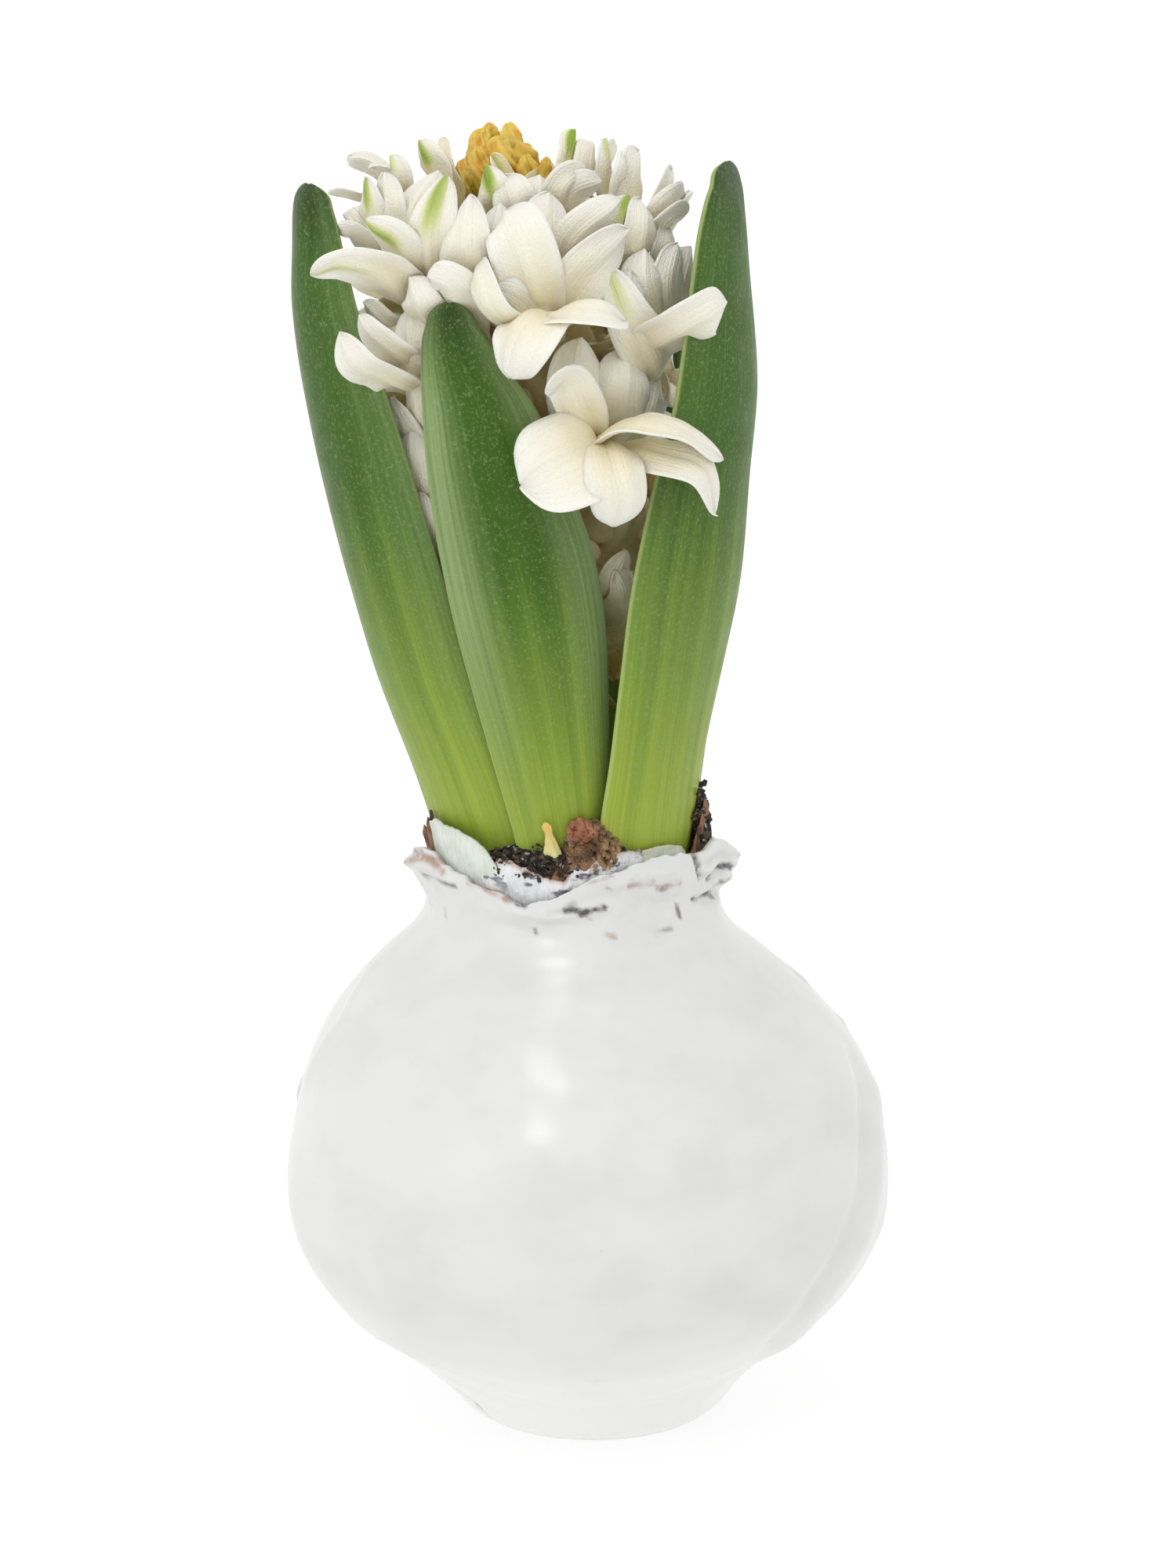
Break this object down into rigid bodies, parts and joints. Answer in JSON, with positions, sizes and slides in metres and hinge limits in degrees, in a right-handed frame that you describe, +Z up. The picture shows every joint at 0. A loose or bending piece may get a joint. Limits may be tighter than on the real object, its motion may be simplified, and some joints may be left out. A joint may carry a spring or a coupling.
{
  "type": "waxed hyacinth bulb in flower",
  "caption": "White hyacinth in flower on a bulb dipped in white wax, with strap leaves round a dense flower head, standing on a flat wax foot.",
  "frame": {"origin": "the point of the flat wax foot under the bulb's middle, on the surface that the plant stands on", "axes": "+Z up along the bulb, -Y towards the side with the wide open floret, +X to the right seen from that side"},
  "size_m": [0.068, 0.0677, 0.1466],
  "materials": {
    "wax": "glossy dipped wax",
    "bulb_scales": "dry papery scales",
    "leaf": "satin, fleshy",
    "stem": "satin",
    "petal": "soft satin, slightly see-through",
    "withered_bud": "shrivelled, dull",
    "shoot": "satin"
  },
  "bodies": {
    "root": {"wax_coat": "wax", "bulb": "bulb_scales", "leaf_left": "leaf", "leaf_front": "leaf", "leaf_right": "leaf", "leaf_back_left": "leaf", "leaf_back_right": "leaf", "flower_stem": "stem", "flower_head": "petal", "apex_buds": "withered_bud", "side_shoot": "shoot"}
  },
  "joints": []
}
